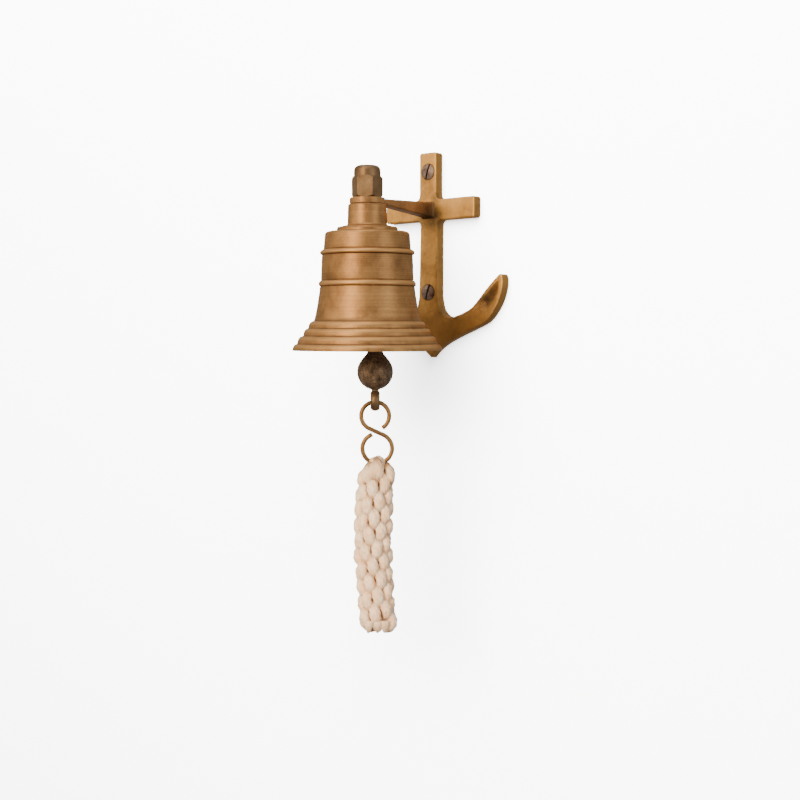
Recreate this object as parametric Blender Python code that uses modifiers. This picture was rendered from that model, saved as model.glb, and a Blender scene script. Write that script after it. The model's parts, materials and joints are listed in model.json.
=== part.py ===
"""Ship bell on an anchor-shaped wall bracket, with a swinging clapper, an S-hook and a rope lanyard.

Metres, +Z up. The origin is on the wall, behind the crossing of the anchor's shank and stock.
+X runs along the wall to the right, and the bell hangs in front of the wall, towards -Y.
"""

import math

import bmesh
import bpy
from mathutils import Vector

MM = 0.001
GAP = 0.3 * MM

# Anchor casting, screwed flat to the wall
ANCHOR_THICK = 7.5 * MM
SHANK_HALF = 7.0 * MM
SHANK_TOP = 40.7 * MM
STOCK_HALF_LENGTH = 40.0 * MM
STOCK_HALF_HEIGHT = 7.4 * MM
STOCK_LEFT_SHORT, STOCK_LEAN = 2.0 * MM, 0.02
SHANK_UPPER_LEFT, SHANK_LOWER_RIGHT = 0.8 * MM, 1.2 * MM
CROWN_BOTTOM = -104.4 * MM
CROWN_TURN_Z, CROWN_TURN = -88.0 * MM, 3.8 * MM
EDGE_ROUND = 1.2 * MM
CROSSING_FILLET = 3.6 * MM
PALM_LIP = 0.35 * MM

# Wood screws that hold it
SCREW_HEIGHTS = {"wall_screw_upper": 27.2 * MM, "wall_screw_lower": -58.1 * MM}
SCREW_HEAD_R = 5.4 * MM
SCREW_HEAD_CONE = 3.4 * MM
SCREW_CROWN = 0.7 * MM
SCREW_SHANK_R = 2.3 * MM
SCREW_LENGTH = 30.0 * MM
SCREW_CLEAR = 0.35 * MM
SLOT_WIDTH, SLOT_DEPTH = 1.3 * MM, 1.3 * MM

# Bracket arm
REACH = 75.5 * MM
ARM_HALF_WIDTH = 4.3 * MM
ARM_ROOT_TOP, ARM_ROOT_BOTTOM = 5.2 * MM, -4.5 * MM
ARM_TIP_TOP, ARM_TIP_BOTTOM = 3.8 * MM, 0.7 * MM
EYE_TOP, EYE_BOTTOM, EYE_R = 3.9 * MM, -0.2 * MM, 11.9 * MM
ARM_CORNER = 0.9 * MM
SPIGOT_R, SPIGOT_DEPTH = 3.0 * MM, 4.0 * MM

# Stack on the bell's axis
STUD_R = 4.95 * MM
STUD_HOLE_R = 5.3 * MM
STUD_TOP, STUD_BOTTOM = 16.6 * MM, -32.0 * MM
NUT_FLATS = 18.4 * MM
NUT_END_R, NUT_CHAMFER_SLOPE = 9.4 * MM, 1.0
NUT_BOTTOM, NUT_HEX_TOP, NUT_TOP = 4.2 * MM, 18.1 * MM, 25.9 * MM
NUT_DOME_R = 9.0 * MM
NUT_CAP_ROUND = 3.7 * MM
NUT_BORE_TOP = 17.4 * MM
COLLAR_TOP, COLLAR_BOTTOM = -0.5 * MM, -18.6 * MM
BELL_TOP = -18.9 * MM
CROWN_WALL = 4.0 * MM
WASHER_R, WASHER_THICK = 11.5 * MM, 1.5 * MM
LOCK_NUT_THICK = 6.0 * MM

# What hangs inside the bell, in a plane turned from the wall
HANG_TURN = math.radians(38)
HANG_OFFSET = 5.2 * MM
EYE_Z = -40.0 * MM
EYE_WIRE_R, EYE_BEND_R, EYE_SWEEP = 2.0 * MM, 5.2 * MM, 278
ROD_R = 2.3 * MM
TOP_EYE_BEND_R, TOP_EYE_WIRE_R = 6.0 * MM, 2.3 * MM
CLAPPER_PIVOT_Z = EYE_Z - EYE_BEND_R + EYE_WIRE_R + TOP_EYE_WIRE_R + GAP
TAIL_EYE_BEND_R, TAIL_EYE_WIRE_R, TAIL_EYE_SPREAD = 5.0 * MM, 2.2 * MM, 1.42
HOOK_DROP = 92.8 * MM
BALL_R, BALL_DROP = 12.2 * MM, 72.5 * MM
HOOK_WIRE_R = 1.5 * MM
HOOK_UPPER_R, HOOK_LOWER_R = 9.5 * MM, 10.1 * MM
HOOK_SIDE_STEP, HOOK_DOWN_STEP = 1.4 * MM, 22.1 * MM
HOOK_RISE = TAIL_EYE_WIRE_R + HOOK_WIRE_R + GAP

# Plaited rope, from its eye over the hook's lower ring down to its tail
LANYARD_TOP, LANYARD_BOTTOM = -5.5 * MM, -126.0 * MM
LANYARD_R, LANYARD_FLAT = 13.2 * MM, 0.80
LANYARD_TUNNEL_R = 1.9 * MM

BRASS = ((0.50, 0.29, 0.11), 0.38, 1.0)
DARK_BRASS = ((0.30, 0.19, 0.09), 0.50, 1.0)
HEAD_BRONZE = ((0.28, 0.20, 0.16), 0.50, 1.0)
IRON = ((0.10, 0.065, 0.04), 0.70, 0.8)
COTTON = ((0.80, 0.68, 0.54), 0.90, 0.0)

TURN_STEPS = 48


def clear_scene():
    for obj in list(bpy.data.objects):
        bpy.data.objects.remove(obj, do_unlink=True)


def new_collection(name):
    made = bpy.data.collections.new(name)
    bpy.context.scene.collection.children.link(made)
    return made


clear_scene()
PARTS = new_collection("ship_bell")
CUTTERS = new_collection("ship_bell_cutters")


def new_material(name, look):
    colour, roughness, metallic = look
    material = bpy.data.materials.new(name)
    material.use_nodes = True
    shader = material.node_tree.nodes["Principled BSDF"]
    shader.inputs["Base Color"].default_value = (*colour, 1.0)
    shader.inputs["Roughness"].default_value = roughness
    shader.inputs["Metallic"].default_value = metallic
    return material


def finish(obj, look):
    """Gives a part its own material and smooth shading with sharp edges kept."""
    obj.data.materials.append(new_material(obj.name, look))
    obj.data.shade_smooth()
    obj.data.set_sharp_from_angle(angle=math.radians(35))
    return obj


def new_object(name, data, parent=None, collection=PARTS):
    obj = bpy.data.objects.new(name, data)
    collection.objects.link(obj)
    obj.parent = parent
    return obj


def empty_at(name, location, parent=None, turn=0.0):
    obj = new_object(name, None, parent)
    obj.location = location
    obj.rotation_euler.z = turn
    return obj


def as_cutter(obj):
    obj.hide_render = True
    obj.display_type = "WIRE"
    return obj


def turned(name, profile, parent=None, closed=True, steps=TURN_STEPS, collection=PARTS):
    """A profile of (radius, height) points turned round Z. The points run down the outer side."""
    mesh = bpy.data.meshes.new(name)
    count = len(profile)
    edges = [(i, i + 1) for i in range(count - 1)]
    if closed:
        edges.append((count - 1, 0))
    mesh.from_pydata([(r, 0.0, z) for r, z in profile], edges, [])
    obj = new_object(name, mesh, parent, collection)
    screw = obj.modifiers.new("turn", "SCREW")
    screw.axis = "Z"
    screw.steps = steps
    screw.render_steps = steps
    screw.use_merge_vertices = True
    screw.merge_threshold = 0.00001
    screw.use_smooth_shade = True
    return obj


def cylinder(name, radius, z_low, z_high, parent=None, sides=32, collection=CUTTERS, top=None):
    """A cylinder along Z, or a cone when top gives another radius for its upper end."""
    mesh = bpy.data.meshes.new(name)
    shape = bmesh.new()
    bmesh.ops.create_cone(
        shape,
        cap_ends=True,
        segments=sides,
        radius1=radius,
        radius2=radius if top is None else top,
        depth=z_high - z_low,
    )
    bmesh.ops.translate(shape, vec=(0, 0, (z_low + z_high) / 2), verts=shape.verts)
    shape.to_mesh(mesh)
    shape.free()
    return new_object(name, mesh, parent, collection)


def torus(name, bend, wire, parent, around=36, across=14):
    """A ring round its local Z."""
    section = [
        (bend + wire * math.cos(a), wire * math.sin(a))
        for a in (-2 * math.pi * i / across for i in range(across))
    ]
    return turned(name, section, parent, steps=around, collection=CUTTERS)


def wire_curve(name, points, radius, parent=None, closed=False, sides=2):
    curve = bpy.data.curves.new(name, "CURVE")
    curve.dimensions = "3D"
    curve.bevel_depth = radius
    curve.bevel_resolution = sides
    curve.use_fill_caps = True
    spline = curve.splines.new("POLY")
    spline.points.add(len(points) - 1)
    for point, place in zip(spline.points, points):
        point.co = (*place, 1.0)
    spline.use_cyclic_u = closed
    return new_object(name, curve, parent)


def arc(centre, radius, first, last, steps):
    """Points on a circle from one angle to another, in degrees, both ends included."""
    angles = [math.radians(first + (last - first) * i / steps) for i in range(steps + 1)]
    return [(centre[0] + radius * math.cos(a), centre[1] + radius * math.sin(a)) for a in angles]


def smooth_line(points, steps=3):
    """Extra points between the given ones, on a curve that passes through all of them."""
    ends = [points[0], *points, points[-1]]
    line = []
    for p0, p1, p2, p3 in zip(ends, ends[1:], ends[2:], ends[3:]):
        for i in range(steps):
            t = i / steps
            line.append(tuple(
                0.5 * (2 * b + (c - a) * t + (2 * a - 5 * b + 4 * c - d) * t**2
                       + (3 * b - a - 3 * c + d) * t**3)
                for a, b, c, d in zip(p0, p1, p2, p3)
            ))
    return [*line, points[-1]]


def inset(outline, distance):
    """A clockwise outline moved inwards by the same distance all round."""
    moved = []
    for before, here, after in zip(outline[-1:] + outline[:-1], outline, outline[1:] + outline[:1]):
        first = Vector(here) - Vector(before)
        second = Vector(after) - Vector(here)
        n1 = Vector((first.y, -first.x)).normalized()
        n2 = Vector((second.y, -second.x)).normalized()
        share = distance / (1 + n1.dot(n2))
        moved.append((here[0] + share * (n1.x + n2.x), here[1] + share * (n1.y + n2.y)))
    return moved


def plate(name, outline, thickness, edge):
    """A clockwise outline in X and Z made a plate from Y 0 towards -Y, its front edges rounded."""
    layers = [(0.0, 0.0)]
    for degrees in (0, 45, 90):
        a = math.radians(degrees)
        layers.append((thickness - edge + edge * math.sin(a), edge - edge * math.cos(a)))
    shape = bmesh.new()
    loops = []
    for depth, distance in layers:
        flat = inset(outline, distance) if distance > 0 else outline
        loops.append([shape.verts.new((x, -depth, z)) for x, z in flat])
    count = len(outline)
    for low, high in zip(loops, loops[1:]):
        for i in range(count):
            k = (i + 1) % count
            shape.faces.new((low[i], low[k], high[k], high[i]))
    shape.faces.new(loops[0])
    shape.faces.new(loops[-1])
    bmesh.ops.recalc_face_normals(shape, faces=shape.faces)
    mesh = bpy.data.meshes.new(name)
    shape.to_mesh(mesh)
    shape.free()
    return new_object(name, mesh)


def meshed(obj):
    """The curve object made a closed mesh object, in the same place and under the same name."""
    bpy.context.view_layer.update()
    evaluated = obj.evaluated_get(bpy.context.evaluated_depsgraph_get())
    mesh = bpy.data.meshes.new_from_object(evaluated)
    shape = bmesh.new()
    shape.from_mesh(mesh)
    bmesh.ops.remove_doubles(shape, verts=shape.verts, dist=0.000002)
    bmesh.ops.recalc_face_normals(shape, faces=shape.faces)
    shape.to_mesh(mesh)
    shape.free()
    name, parent, place = obj.name, obj.parent, obj.matrix_world.copy()
    bpy.data.objects.remove(obj, do_unlink=True)
    made = new_object(name, mesh, parent)
    made.matrix_world = place
    return made


def move_to_cutters(obj):
    PARTS.objects.unlink(obj)
    CUTTERS.objects.link(obj)


def boolean(obj, other, operation):
    as_cutter(other)
    modifier = obj.modifiers.new(f"{operation.lower()} {other.name}", "BOOLEAN")
    modifier.operation = operation
    modifier.solver = "EXACT"
    modifier.object = other
    return obj


def cut(obj, other):
    return boolean(obj, other, "DIFFERENCE")


def join(obj, other):
    return boolean(obj, other, "UNION")


def chamfer(obj, width, segments=1, angle=40):
    modifier = obj.modifiers.new("edges", "BEVEL")
    modifier.width = width
    modifier.segments = segments
    modifier.limit_method = "ANGLE"
    modifier.angle_limit = math.radians(angle)
    return obj


def mirrored_outline(half):
    """The clockwise outline whose right half runs from top to bottom, closed by its mirror image."""
    return half + [(-x, z) for x, z in reversed(half) if abs(x) > 0.01 * MM]


def crown_outline():
    """Right arm and fluke, from the shank round the fluke's tip to the point at the bottom."""
    inner = [
        (8.2, -60.5), (9.8, -68.6), (13.2, -73.6), (18.6, -76.0), (25.2, -74.6), (31.5, -72.3),
        (37.3, -69.3), (42.2, -64.7), (50.2, -56.0), (55.2, -51.1), (58.3, -48.3),
    ]
    outer = [
        (60.5, -46.5), (62.8, -47.1), (63.9, -50.6), (63.2, -57.1), (60.8, -64.4), (56.5, -71.8),
        (49.8, -79.0), (39.8, -83.7), (20.0, -91.9), (10.0, -97.4), (4.4, -102.0),
    ]
    scaled = [(x * MM, z * MM) for x, z in inner + outer]
    return smooth_line(scaled) + [(0.0, CROWN_BOTTOM)]


def settled(x, z):
    """An outline point with the casting's own unevenness in its shank, stock and bottom point."""
    if z > STOCK_HALF_HEIGHT and x < 0:
        x -= SHANK_UPPER_LEFT
    if CROSSING_FILLET * -4 < z < -STOCK_HALF_HEIGHT and x > SHANK_HALF * 0.99:
        x += SHANK_LOWER_RIGHT
    if abs(z) < STOCK_HALF_HEIGHT + CROSSING_FILLET and abs(x) > SHANK_HALF:
        z += STOCK_LEAN * x
    if abs(z) < STOCK_HALF_HEIGHT * 1.5 and x < -STOCK_HALF_LENGTH / 2:
        x += STOCK_LEFT_SHORT
    if z < CROWN_TURN_Z and x < 0.01 * MM:
        x += CROWN_TURN * min(1.0, (CROWN_TURN_Z - z) / (9 * MM)) * (0.6 if x > -0.01 * MM else 1.0)
    return x, z


def anchor_outline():
    """Shank, stock, arms and flukes as one outline in the wall's plane."""
    side, top = SHANK_HALF, SHANK_TOP
    end, high = STOCK_HALF_LENGTH, STOCK_HALF_HEIGHT
    fillet, corner = CROSSING_FILLET, 1.8 * MM
    half = arc((side - corner, top - corner), corner, 90, 0, 3)
    half += arc((side + fillet, high + fillet), fillet, 180, 270, 4)
    half += arc((end - corner, high - corner), corner, 90, 0, 3)
    half += arc((end - corner, corner - high), corner, 0, -90, 3)
    half += arc((side + fillet, -high - fillet), fillet, 90, 180, 4)
    return [settled(x, z) for x, z in mirrored_outline(half + crown_outline())]


def palm_cutter(side):
    """Wedge that hollows one fluke: a steep wall by its inner edge and a long slope to its outer one."""
    inner = [(43.6, -68.0), (47.4, -62.9), (51.6, -58.4), (56.2, -53.6), (59.4, -50.6)]
    valley = [(45.4, -70.6), (49.6, -65.4), (53.6, -60.7), (57.6, -55.6), (60.0, -51.4)]
    outer = [(49.6, -76.2), (54.7, -70.3), (58.4, -64.3), (60.8, -57.4), (61.2, -51.6)]
    depths = [0.1, 1.9, 2.9, 2.6, 0.6]
    lines = [smooth_line(points) for points in (inner, valley, outer)]
    drops = [d for d, _ in smooth_line([(d, 0.0) for d in depths])]
    front, above = -ANCHOR_THICK, -ANCHOR_THICK - 3 * MM
    shape = bmesh.new()
    rings = []
    for (x1, z1), (x2, z2), (x3, z3), drop in zip(*lines, drops):
        corners = [
            (x1, front - PALM_LIP, z1), (x2, front + drop * MM, z2), (x3, front - PALM_LIP, z3),
            (x3, above, z3), (x1, above, z1),
        ]
        rings.append([shape.verts.new((side * x * MM, y, z * MM)) for x, y, z in corners])
    for low, high in zip(rings, rings[1:]):
        for i in range(5):
            k = (i + 1) % 5
            shape.faces.new((low[i], low[k], high[k], high[i]))
    shape.faces.new(rings[0])
    shape.faces.new(rings[-1])
    bmesh.ops.triangulate(shape, faces=shape.faces)
    bmesh.ops.recalc_face_normals(shape, faces=shape.faces)
    name = "palm_right" if side > 0 else "palm_left"
    mesh = bpy.data.meshes.new(name)
    shape.to_mesh(mesh)
    shape.free()
    return new_object(name, mesh, collection=CUTTERS)


def screw_profile(clear):
    """Half section of a countersunk wood screw along Z, its head up, grown all round by clear."""
    head, shank = SCREW_HEAD_R + clear, SCREW_SHANK_R + clear
    return [
        (0.0, SCREW_CROWN),
        (0.55 * head, 0.75 * SCREW_CROWN),
        (head, 0.0),
        (shank, -SCREW_HEAD_CONE),
        (shank, -0.55 * SCREW_LENGTH),
        (0.75 * shank, -0.86 * SCREW_LENGTH),
        (0.0, -SCREW_LENGTH),
    ]


def screw_hole(height):
    head, shank = SCREW_HEAD_R + SCREW_CLEAR, SCREW_SHANK_R + SCREW_CLEAR
    deep = 2 * ANCHOR_THICK
    profile = [
        (0.0, deep),
        (head + deep * 0.02, deep),
        (head, 0.0),
        (shank, -SCREW_HEAD_CONE),
        (shank, -deep),
        (0.0, -deep),
    ]
    hole = turned(f"screw_hole_{height:.3f}", profile, closed=False, steps=32, collection=CUTTERS)
    hole.location = (0, -ANCHOR_THICK, height)
    hole.rotation_euler.x = math.pi / 2
    return hole


def make_anchor():
    anchor = plate("anchor_bracket", anchor_outline(), ANCHOR_THICK, EDGE_ROUND)
    for side in (1, -1):
        cut(anchor, palm_cutter(side))
    for height in SCREW_HEIGHTS.values():
        cut(anchor, screw_hole(height))
    socket = cylinder("spigot_socket", SPIGOT_R + GAP, -SPIGOT_DEPTH - GAP, 5 * MM)
    socket.location.y = -ANCHOR_THICK
    socket.rotation_euler.x = math.pi / 2
    cut(anchor, socket)
    finish(anchor, BRASS)


def make_wall_screws():
    for name, height in SCREW_HEIGHTS.items():
        screw = turned(name, screw_profile(0.0), closed=False, steps=24)
        screw.location = (0, -ANCHOR_THICK - GAP, height)
        screw.rotation_euler = (math.pi / 2, math.radians(18), 0)
        slot = bpy.data.meshes.new("slot")
        shape = bmesh.new()
        bmesh.ops.create_cube(shape, size=1.0)
        size = (SLOT_WIDTH, 3 * SCREW_HEAD_R, 2 * SLOT_DEPTH)
        bmesh.ops.scale(shape, vec=size, verts=shape.verts)
        bmesh.ops.translate(shape, vec=(0, 0, SCREW_CROWN), verts=shape.verts)
        shape.to_mesh(slot)
        shape.free()
        cut(screw, new_object(f"{name}_slot", slot, screw, CUTTERS))
        finish(screw, HEAD_BRONZE)


def arm_bar():
    """Bar that flares at the anchor, tapers underneath, and ends inside the eye."""
    root, tip = -ANCHOR_THICK - GAP, EYE_R / 2 - REACH
    stations = [
        (root, 5.8 * MM, 6.0 * MM, -6.0 * MM),
        (root - 0.8 * MM, 5.2 * MM, 5.6 * MM, -5.6 * MM),
        (root - 2.2 * MM, 4.8 * MM, 5.2 * MM, -5.2 * MM),
        (root - 4.6 * MM, 4.4 * MM, 5.0 * MM, -4.8 * MM),
        (root - 8.0 * MM, ARM_HALF_WIDTH, ARM_ROOT_TOP, ARM_ROOT_BOTTOM),
        (tip, ARM_HALF_WIDTH, ARM_TIP_TOP, ARM_TIP_BOTTOM),
    ]
    shape = bmesh.new()
    rings = []
    for y, half, top, bottom in stations:
        c = ARM_CORNER
        corners = [
            (half - c, top), (half, top - c), (half, bottom + c), (half - c, bottom),
            (c - half, bottom), (-half, bottom + c), (-half, top - c), (c - half, top),
        ]
        rings.append([shape.verts.new((x, y, z)) for x, z in corners])
    for low, high in zip(rings, rings[1:]):
        for i in range(8):
            k = (i + 1) % 8
            shape.faces.new((low[i], low[k], high[k], high[i]))
    shape.faces.new(rings[0])
    shape.faces.new(rings[-1])
    bmesh.ops.triangulate(shape, faces=shape.faces)
    bmesh.ops.recalc_face_normals(shape, faces=shape.faces)
    mesh = bpy.data.meshes.new("bracket_arm")
    shape.to_mesh(mesh)
    shape.free()
    return new_object("bracket_arm", mesh)


def make_arm():
    """Bar, round eye and spigot as one forging, drilled for the stud."""
    arm = arm_bar()
    eye = cylinder("arm_eye", EYE_R, EYE_BOTTOM, EYE_TOP, sides=48)
    eye.location.y = -REACH
    join(arm, chamfer(eye, 0.5 * MM, 2))
    spigot = cylinder("arm_spigot", SPIGOT_R, -SPIGOT_DEPTH, 3 * MM)
    spigot.location.y = -ANCHOR_THICK - GAP
    spigot.rotation_euler.x = math.pi / 2
    join(arm, spigot)
    hole = cylinder("arm_eye_hole", STUD_HOLE_R, -5 * MM, 10 * MM)
    hole.location.y = -REACH
    cut(arm, hole)
    finish(arm, BRASS)


def hexagon(name, flats, z_low, z_high, parent, collection=PARTS):
    nut = cylinder(name, flats / math.sqrt(3), z_low, z_high, parent, 6, collection)
    nut.rotation_euler.z = math.radians(-1)
    return nut


def make_acorn_nut(axis):
    """Domed cap nut: a hexagon chamfered at both ends with a round cap, drilled blind from below."""
    nut = hexagon("acorn_nut", NUT_FLATS, NUT_BOTTOM, NUT_HEX_TOP, axis)
    reach = NUT_FLATS / math.sqrt(3) + 0.05 * MM
    rise = (reach - NUT_END_R) * NUT_CHAMFER_SLOPE
    trim = [
        (0.0, NUT_HEX_TOP + 0.1 * MM), (NUT_END_R, NUT_HEX_TOP + 0.1 * MM), (reach, NUT_HEX_TOP - rise),
        (reach, NUT_BOTTOM + rise), (NUT_END_R, NUT_BOTTOM - 0.1 * MM), (0.0, NUT_BOTTOM - 0.1 * MM),
    ]
    rounder = turned("nut_rounder", trim, axis, closed=False, collection=CUTTERS)
    boolean(nut, rounder, "INTERSECT")
    corner_centre = (NUT_DOME_R - NUT_CAP_ROUND, NUT_TOP - 0.4 * MM - NUT_CAP_ROUND)
    dome = [(0.0, NUT_TOP), *arc(corner_centre, NUT_CAP_ROUND, 80, 0, 6)]
    dome += [(NUT_DOME_R, NUT_HEX_TOP - 3 * MM), (0.0, NUT_HEX_TOP - 3 * MM)]
    join(nut, turned("nut_dome", dome, axis, closed=False, steps=40, collection=CUTTERS))
    cut(nut, cylinder("nut_bore", STUD_HOLE_R, -5 * MM, NUT_BORE_TOP, axis))
    finish(nut, DARK_BRASS)


def make_collar(axis):
    """Turned neck with a sloping foot flange, between the bracket's eye and the bell."""
    foot = COLLAR_BOTTOM
    profile = [
        (STUD_HOLE_R, COLLAR_TOP),
        (12.4 * MM, COLLAR_TOP),
        (13.0 * MM, COLLAR_TOP - 0.6 * MM),
        (13.3 * MM, foot + 4.9 * MM),
        (14.0 * MM, foot + 4.0 * MM),
        (19.9 * MM, foot + 2.7 * MM),
        (20.6 * MM, foot + 1.6 * MM),
        (20.6 * MM, foot),
        (STUD_HOLE_R, foot),
    ]
    finish(turned("crown_collar", profile, axis), BRASS)


def bell_outside():
    """Outer side of the bell from its shoulder to its mouth, as (radius, height) points."""
    shoulder = [(26.4, -18.9), (27.8, -19.4), (28.6, -20.8), (29.4, -30.8)]
    band_upper = [(31.0, -31.2), (31.6, -32.7), (31.0, -34.3), (30.6, -34.7)]
    band_lower = [(31.3, -51.8), (32.2, -52.2), (32.7, -53.7), (32.2, -55.2), (31.9, -55.5)]
    waist = [(33.0, -63.4), (34.1, -70.5), (34.9, -74.3), (36.0, -78.6)]
    mouldings = [
        (37.4, -79.0), (38.8, -80.3), (39.6, -82.0), (39.7, -83.5),
        (40.6, -84.0), (41.8, -85.4), (42.7, -87.0), (43.1, -88.6),
        (44.3, -89.1), (45.6, -90.5), (46.7, -92.3), (47.3, -94.0),
        (48.3, -94.5), (49.4, -95.8), (50.3, -97.4), (50.6, -98.7),
    ]
    points = shoulder + band_upper + band_lower + waist + mouldings
    return [(r * MM, z * MM) for r, z in points]


def bell_inside():
    """Inner side of the bell from its mouth up to the hole in its crown."""
    flare = [(46.6, -98.7), (45.2, -95.4), (40.6, -89.0), (36.4, -82.8), (32.6, -77.4)]
    waist = [(30.4, -71.9), (28.9, -64.4), (27.6, -52.4), (26.2, -34.4), (25.0, -26.4), (22.5, -22.9)]
    return [(r * MM, z * MM) for r, z in flare + waist]


def make_bell(axis):
    profile = [(STUD_HOLE_R, BELL_TOP), *bell_outside(), *bell_inside()]
    profile.append((STUD_HOLE_R, BELL_TOP - CROWN_WALL))
    finish(turned("bell_body", profile, axis), BRASS)


def make_inside_fasteners(axis):
    """Washer and thin nut that clamp the bell from inside its crown."""
    washer_top = BELL_TOP - CROWN_WALL - GAP
    washer_bottom = washer_top - WASHER_THICK
    washer = [
        (STUD_HOLE_R, washer_top),
        (WASHER_R, washer_top),
        (WASHER_R, washer_bottom),
        (STUD_HOLE_R, washer_bottom),
    ]
    finish(turned("inside_washer", washer, axis, steps=32), BRASS)
    nut_top = washer_bottom - GAP
    nut = hexagon("inside_lock_nut", NUT_FLATS, nut_top - LOCK_NUT_THICK, nut_top, axis)
    cut(nut, cylinder("lock_nut_bore", STUD_HOLE_R, nut_top - 10 * MM, nut_top + 5 * MM, axis))
    finish(nut, DARK_BRASS)


def make_eye_bolt(axis):
    """Threaded stud on the bell's axis, drawn down to a wire that curls into an off-centre eye."""
    bolt = cylinder("eye_bolt", STUD_R, STUD_BOTTOM, STUD_TOP, axis, 32, PARTS)
    chamfer(bolt, 0.8 * MM)
    path = [(0.0, 0.0, STUD_BOTTOM + 5 * MM), (0.0, 0.0, STUD_BOTTOM - 3 * MM)]
    for x, z in arc((HANG_OFFSET, EYE_Z), EYE_BEND_R, 180, 180 + EYE_SWEEP, 24):
        path.append((x, 0.0, z))
    wire = meshed(wire_curve("eye_wire", path, EYE_WIRE_R, axis, sides=2))
    move_to_cutters(wire)
    join(bolt, wire)
    finish(bolt, DARK_BRASS)


def make_clapper_rod(pivot):
    """Forged rod with an eye through the bolt's eye at its top, and an eye for the S-hook at its tail."""
    eye_z = -TOP_EYE_BEND_R
    tail_z = TAIL_EYE_BEND_R - HOOK_DROP - HOOK_RISE
    rod_top = eye_z - TOP_EYE_BEND_R + 0.6 * MM
    rod = cylinder("clapper_rod", ROD_R, tail_z + TAIL_EYE_BEND_R, rod_top, pivot, 20, PARTS)
    top_eye = torus("rod_top_eye", TOP_EYE_BEND_R, TOP_EYE_WIRE_R, pivot)
    top_eye.location.z = eye_z
    top_eye.rotation_euler.y = math.pi / 2
    join(rod, top_eye)
    tail_eye = torus("rod_tail_eye", TAIL_EYE_BEND_R, TAIL_EYE_WIRE_R, pivot, 28)
    tail_eye.location.z = tail_z
    tail_eye.scale.z = TAIL_EYE_SPREAD
    tail_eye.rotation_euler.y = math.pi / 2
    join(rod, tail_eye)
    finish(rod, DARK_BRASS)


def make_ball(pivot):
    """Pear-shaped striking weight cast round the rod, its narrow neck up."""
    bore = ROD_R + GAP
    neck = [(3.6 * MM, 23.0 * MM), (4.4 * MM, 15.2 * MM), (5.8 * MM, 12.2 * MM), (8.2 * MM, 9.5 * MM)]
    round_side = arc((0.0, 0.0), BALL_R, 34, -75, 8)
    profile = [(bore, 23.0 * MM), *neck, *round_side, (bore, -12.1 * MM)]
    ball = turned("clapper_ball", profile, pivot, steps=32)
    ball.location.z = -BALL_DROP
    finish(ball, IRON)


def s_hook_line():
    """Centre line of the S: an open ring, a straight crossing, and a lower open ring."""
    distance = math.hypot(HOOK_SIDE_STEP, HOOK_DOWN_STEP)
    lean = math.degrees(math.acos((HOOK_UPPER_R + HOOK_LOWER_R) / distance))
    tilt = math.degrees(math.atan2(HOOK_SIDE_STEP, HOOK_DOWN_STEP))
    upper = arc((0.0, -HOOK_UPPER_R), HOOK_UPPER_R, -59.0, 270.0 + tilt - lean, 26)
    lower_centre = (HOOK_SIDE_STEP, -HOOK_UPPER_R - HOOK_DOWN_STEP)
    lower = arc(lower_centre, HOOK_LOWER_R, 90.0 + tilt - lean, -250.0, 28)
    return [(x, 0.0, z) for x, z in upper + lower]


def make_s_hook(pivot):
    hook = meshed(wire_curve("s_hook", s_hook_line(), HOOK_WIRE_R, pivot))
    finish(hook, DARK_BRASS)


def make_lanyard(pivot):
    """Plain outer shape of the plaited rope, with a tunnel round the hook's wire."""
    top, bottom, full = LANYARD_TOP, LANYARD_BOTTOM, LANYARD_R
    shoulders = [(5.4 * MM, top), (7.2 * MM, top - 1.5 * MM), (9.6 * MM, top - 4.5 * MM)]
    body = [(0.87 * full, top - 9 * MM), (full, top - 22 * MM), (full, bottom + 8 * MM)]
    foot = [(0.94 * full, bottom + 3 * MM), (0.7 * full, bottom)]
    profile = [(0.0, top), *shoulders, *body, *foot, (0.0, bottom)]
    lanyard = turned("lanyard", profile, pivot, closed=False, steps=28)
    lanyard.scale.y = LANYARD_FLAT
    tunnel = torus("lanyard_tunnel", HOOK_LOWER_R, LANYARD_TUNNEL_R, pivot, 40, 12)
    tunnel.rotation_euler.x = math.pi / 2
    cut(lanyard, tunnel)
    finish(lanyard, COTTON)


def main():
    make_anchor()
    make_wall_screws()
    make_arm()
    bell_axis = empty_at("bell_axis", (0, -REACH, 0))
    make_acorn_nut(bell_axis)
    make_collar(bell_axis)
    make_bell(bell_axis)
    make_inside_fasteners(bell_axis)
    hang_axis = empty_at("hang_axis", (0, 0, 0), bell_axis, HANG_TURN)
    make_eye_bolt(hang_axis)
    clapper_pivot = empty_at("clapper_pivot", (HANG_OFFSET, 0, CLAPPER_PIVOT_Z), hang_axis)
    make_clapper_rod(clapper_pivot)
    make_ball(clapper_pivot)
    hook_pivot = empty_at("hook_pivot", (0, 0, -HOOK_DROP), clapper_pivot)
    make_s_hook(hook_pivot)
    ring_drop = HOOK_UPPER_R + HOOK_DOWN_STEP
    lanyard_pivot = empty_at("lanyard_pivot", (HOOK_SIDE_STEP, 0, -ring_drop), hook_pivot)
    make_lanyard(lanyard_pivot)


main()
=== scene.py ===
"""Looks of a wall-mounted ship bell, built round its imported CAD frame. Metres, +Z up, the wall at Y 0."""

import json
import math
import random

import bmesh
import bpy
from mathutils import Matrix, Vector, noise


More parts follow.
